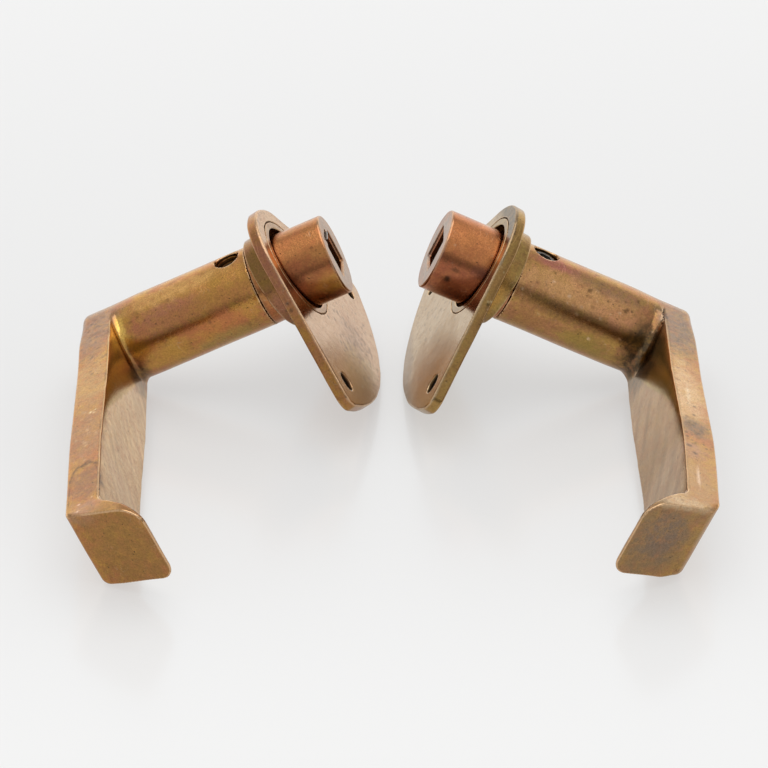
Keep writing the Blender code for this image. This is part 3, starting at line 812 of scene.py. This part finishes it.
class Graph:
    """Short ways to add shader nodes to a material or to the world."""

    def __init__(self, owner):
        owner.use_nodes = True
        self.owner = owner
        self.nodes = owner.node_tree.nodes
        self.links = owner.node_tree.links

    def put(self, socket, value):
        """A link from another node's socket, or else a constant."""
        if isinstance(value, bpy.types.NodeSocket):
            self.links.new(value, socket)
        else:
            socket.default_value = value

    def node(self, kind, settings=None, **inputs):
        made = self.nodes.new("ShaderNode" + kind)
        for key, value in (settings or {}).items():
            setattr(made, key, value)
        for key, value in inputs.items():
            self.put(made.inputs[int(key[1:]) if key[0] == "_" else key], value)
        return made

    def attribute(self, name):
        return self.node("Attribute", dict(attribute_name=name)).outputs

    def ramp(self, value, low, high, start=0.0, end=1.0):
        """A smooth change from start, where the value is low, to end, where it is high."""
        made = self.node("MapRange", dict(clamp=True, interpolation_type="SMOOTHSTEP"), Value=value)
        for socket, number in zip(made.inputs[1:5], (low, high, start, end)):
            socket.default_value = number
        return made.outputs[0]

    def math(self, kind, a, b=0.0):
        return self.node("Math", dict(operation=kind), _0=a, _1=b).outputs[0]

    def distance(self, place, other):
        return self.node("VectorMath", dict(operation="DISTANCE"), _0=place, _1=other).outputs["Value"]

    def mix(self, share, a, b, kind="MIX"):
        """Two colours mixed or, as MULTIPLY, the first one shaded by the second."""
        made = self.node("Mix", dict(data_type="RGBA", blend_type=kind))
        self.put(made.inputs[0], share)
        for socket, colour in ((made.inputs[6], a), (made.inputs[7], b)):
            self.put(socket, (*colour, 1.0) if isinstance(colour, tuple) else colour)
        return made.outputs[2]

    def finish(self, shader, **inputs):
        """The named shader's inputs, each linked or constant; spaces are written as _."""
        for key, value in inputs.items():
            self.put(self.nodes[shader].inputs[key.replace("_", " ")], value)
        return self.owner


class Metal(Graph):
    """A metal's material: its noises lie in the piece's own millimetres."""

    def __init__(self, name):
        super().__init__(bpy.data.materials.new(name))
        self.place = self.attribute("grain")["Vector"]

    def noise(self, size, detail, rough, place=None):
        made = self.node("TexNoise", Vector=place or self.place, Scale=1 / size, Detail=detail,
                         Roughness=rough)
        return made.outputs["Fac"]

    def shade(self, colour, value, low, high):
        """The colour made darker or lighter, from low to high, as a noise says."""
        grey = self.ramp(value, 0.3, 0.7, low, high)
        grey = self.node("CombineColor", Red=grey, Green=grey, Blue=grey).outputs[0]
        return self.mix(1.0, colour, grey, "MULTIPLY")

    def hairlines(self, scale, turn, width):
        """Thin long scratches in patches: where a stretched noise passes its middle value."""
        stretched = self.node("Mapping", Vector=self.place, Scale=scale, Rotation=turn).outputs[0]
        drawn = self.noise(1.6, 1, 0.4, place=stretched)
        away = self.math("ABSOLUTE", self.math("SUBTRACT", drawn, 0.5))
        patch = self.ramp(self.noise(6, 3, 0.6), 0.5, 0.62)
        return self.math("MULTIPLY", self.ramp(away, width, 0.0), patch)


def bronze(name, gold, red, edge_wear_and_highlight):
    """Old bronze: gold and red, flecks, stains with painted highlights and reflections among them, grime, fine
    scratches, worn edges lightened as a painted highlight, and creases and holes darkened as painted shade.
    """
    g = Metal(name)
    broad = g.noise(5, 9, 0.75)
    fleck = g.noise(0.42, 3, 0.6)
    grain = g.noise(0.2, 2, 0.5)
    colour = g.mix(g.ramp(broad, 0.38, 0.62), gold, red)
    colour = g.mix(g.ramp(g.noise(2.6, 9, 0.75), 0.5, 0.72, 0, 0.65), colour, BROWN)
    # Stains together with painted highlights and reflections, laid over the metal's colour
    stain_and_painted_light = g.attribute("stain_and_painted_light")
    patchy = g.ramp(g.noise(1.8, 8, 0.75), 0.32, 0.62, 0.5, 1.1)
    stain_and_painted_share = g.math("MINIMUM", g.math("MULTIPLY", stain_and_painted_light["Alpha"], patchy), 1.0)
    colour = g.mix(stain_and_painted_share, colour, stain_and_painted_light["Color"])
    colour = g.shade(colour, fleck, 0.86, 1.12)
    colour = g.shade(colour, grain, 0.92, 1.08)
    pit = g.ramp(g.noise(0.7, 2, 0.5), 0.68, 0.75, 0, 0.75)
    colour = g.mix(pit, colour, SOOT)
    hair = g.hairlines((1, 0.07, 0.5), (0.3, 0.2, 0.9), 0.012)
    colour = g.mix(g.math("MULTIPLY", hair, 0.35), colour, CREAM)
    bend = g.attribute("bend")["Fac"]
    # Painted highlight with wear: rounded edges lightened towards a pale worn colour
    ridge_wear_and_highlight = g.ramp(g.math("ADD", bend, g.math("MULTIPLY", fleck, 1.4)), 1.6, 3.2, 0, edge_wear_and_highlight)
    colour = g.mix(ridge_wear_and_highlight, colour, WORN_EDGE_AND_HIGHLIGHT)
    # Painted shade: creases, where the surface bends inwards, darkened towards soot
    colour = g.mix(g.ramp(bend, -0.5, -2.0, 0, 0.75), colour, SOOT)
    # Painted shade: the holes darkened towards black
    deep = g.attribute("deep")["Fac"]
    colour = g.mix(deep, colour, HOLE_SHADE)
    height = g.math("ADD", g.math("MULTIPLY", fleck, 0.6), g.math("MULTIPLY", grain, 0.35))
    height = g.math("SUBTRACT", height, g.math("ADD", pit, g.math("MULTIPLY", hair, 0.4)))
    bump = g.node("Bump", Strength=0.4, Distance=0.00006, Height=height).outputs[0]
    rough = g.ramp(broad, 0.3, 0.7, BRONZE_ROUGHNESS - 0.04, BRONZE_ROUGHNESS + 0.07)
    rough = g.math("ADD", rough, g.math("MULTIPLY", deep, 0.4))
    return g.finish("Principled BSDF", Metallic=1.0, Specular_Tint=GLANCING_TINT, Base_Color=colour,
                    Roughness=rough, Normal=bump)


def plain_metal(name, colour, rough):
    """Plain grey metal, slightly mottled."""
    g = Metal(name)
    fine = g.noise(0.8, 5, 0.7)
    tone = g.mix(g.ramp(fine, 0.3, 0.7), colour, tuple(c * 0.55 for c in colour))
    bump = g.node("Bump", Strength=0.3, Distance=0.00004, Height=fine).outputs[0]
    return g.finish("Principled BSDF", Metallic=1.0, Base_Color=tone,
                    Roughness=g.ramp(fine, 0.2, 0.8, rough, rough + 0.15), Normal=bump)


# ---------------------------------------------------------------- the pieces

# Each piece's slot, shape and painted shade in its holes, then its net's low and high corner and its cell, in mm
PIECES = {
    "lever": ("lever", lever_field, hole_shade_lever, (-68, -11, -11), (-18, 102, 11), 0.42),
    "socket_sleeve": ("sleeve", sleeve_field, socket_shade_sleeve, (-34, -11, -11), (1.2, 11, 11), 0.32),
    "rose_plate": ("rose", rose_field, hole_shade_rose, (-3.7, -36, -38), (0.9, 36, 18), 0.32),
    "rose_bush": ("bush", bush_field, no_hole_shade, (-8.2, -14, -14), (0.9, 14, 14), 0.25),
    "grub_screw": ("grub_screw", grub_screw_field, no_hole_shade, (-3.2, -3.2, -4.6), (3.2, 3.2, 0.6),
                   0.14),
}


def make_handle(spec, metals):
    """One handle's five worn pieces, each riding the body of the piece that it replaces."""
    name = spec["name"]
    handle, rose = handle_frame(spec), rose_frame(name)
    riding = {
        "lever": (handle, "levers"),
        "socket_sleeve": (handle, "levers"),
        "rose_plate": (rose, name + "_rose"),
        "rose_bush": (rose, name + "_bush"),
        "grub_screw": (screw_frame(name), name + "_screw"),
    }
    for part, (slot, *shape) in PIECES.items():
        placement, body = riding[part]
        node = name + "_" + part
        piece = build(node, spec, placement, *shape)
        piece.data.materials.append(metals[node])
        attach(piece, body)
        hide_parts(node)


def make_pieces():
    """Both handles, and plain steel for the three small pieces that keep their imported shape."""
    metals = {node: bronze(node + "_bronze", *looks) for node, looks in BRONZES.items()}
    for spec in HANDLES:
        node = spec["name"] + "_grub_screw"
        metals[node] = plain_metal(node + "_steel", SCREW_STEEL, 0.4)
    for spec in HANDLES:
        make_handle(spec, metals)
    steel = plain_metal("pin_steel", PIN_STEEL, 0.3)
    for node in ("left_dowel_pin", "right_dowel_pin", "left_socket_shim"):
        frame["nodes"][node].data.materials.clear()
        frame["nodes"][node].data.materials.append(steel)


# ---------------------------------------------------------------- stage, light and camera

def make_floor():
    """A pale table that glows more in front of the pair and fades far off and to the left."""
    mesh = bpy.data.meshes.new("floor")
    half = FLOOR_HALF
    corners = [(-half, -half, 0), (half, -half, 0), (half, half, 0), (-half, half, 0)]
    mesh.from_pydata(corners, [], [(0, 1, 2, 3)])
    floor = bpy.data.objects.new("floor", mesh)
    bpy.context.scene.collection.objects.link(floor)
    g = Graph(bpy.data.materials.new("pale_table"))
    near = g.node("TexCoord").outputs["Object"]
    place = g.node("SeparateXYZ", _0=near).outputs
    glow = g.ramp(place[1], -0.13, 0.05, 0.57, 0.475)
    glow = g.math("MULTIPLY", glow, g.ramp(g.distance(near, GLOW_MIDDLE), 0.4, 0.9, 1, 0.9))
    glow = g.math("MULTIPLY", glow, g.ramp(place[0], -0.25, -0.7, 1, 0.4))
    g.finish("Principled BSDF", Base_Color=FLOOR_GREY, Roughness=0.2, Emission_Color=FLOOR_GLOW,
             Emission_Strength=glow)
    mesh.materials.append(g.owner)


def make_light():
    """A light tent, bright low down behind the pair and dim where the viewer stands, and a lamp."""
    world = bpy.data.worlds.new("soft_studio")
    bpy.context.scene.world = world
    g = Graph(world)
    way = g.node("TexCoord").outputs["Generated"]
    place = g.node("SeparateXYZ", _0=way).outputs
    behind = g.math("MULTIPLY", g.ramp(place[1], 0.0, 0.6), g.ramp(place[2], 0.3, 0.55, 1, 0))
    dim = g.ramp(g.distance(way, VIEWER_SIDE), 0.25, 0.55, 0.45, 0)
    light = g.math("ADD", g.math("MULTIPLY", behind, 0.75), 0.72)
    g.finish("Background", Color=(1.0, 1.0, 1.0, 1), Strength=g.math("SUBTRACT", light, dim))
    lamp_data = bpy.data.lights.new("softbox", "AREA")
    lamp_data.size = LAMP_SIZE
    lamp_data.energy = LAMP_POWER
    lamp = bpy.data.objects.new("softbox", lamp_data)
    bpy.context.scene.collection.objects.link(lamp)
    lamp.location = LAMP_PLACE
    lamp.rotation_euler = Vector(LAMP_PLACE).to_track_quat("Z", "Y").to_euler()


def make_camera():
    """Where the viewer stands: in front of the pair and a little above it."""
    camera = bpy.data.cameras.new("viewer")
    camera.sensor_width = SENSOR
    camera.lens = LENS
    viewer = bpy.data.objects.new("viewer", camera)
    bpy.context.scene.collection.objects.link(viewer)
    right = Vector(VIEWER_RIGHT)
    back = right.cross(Vector(VIEWER_UP)).normalized()
    up = back.cross(right).normalized()
    turn = Matrix((right, up, back)).transposed().to_4x4()
    viewer.matrix_world = Matrix.Translation(VIEWER_PLACE) @ turn
    bpy.context.scene.camera = viewer
    bpy.context.scene.view_settings.view_transform = "Standard"


make_camera()
make_light()
make_floor()
make_pieces()
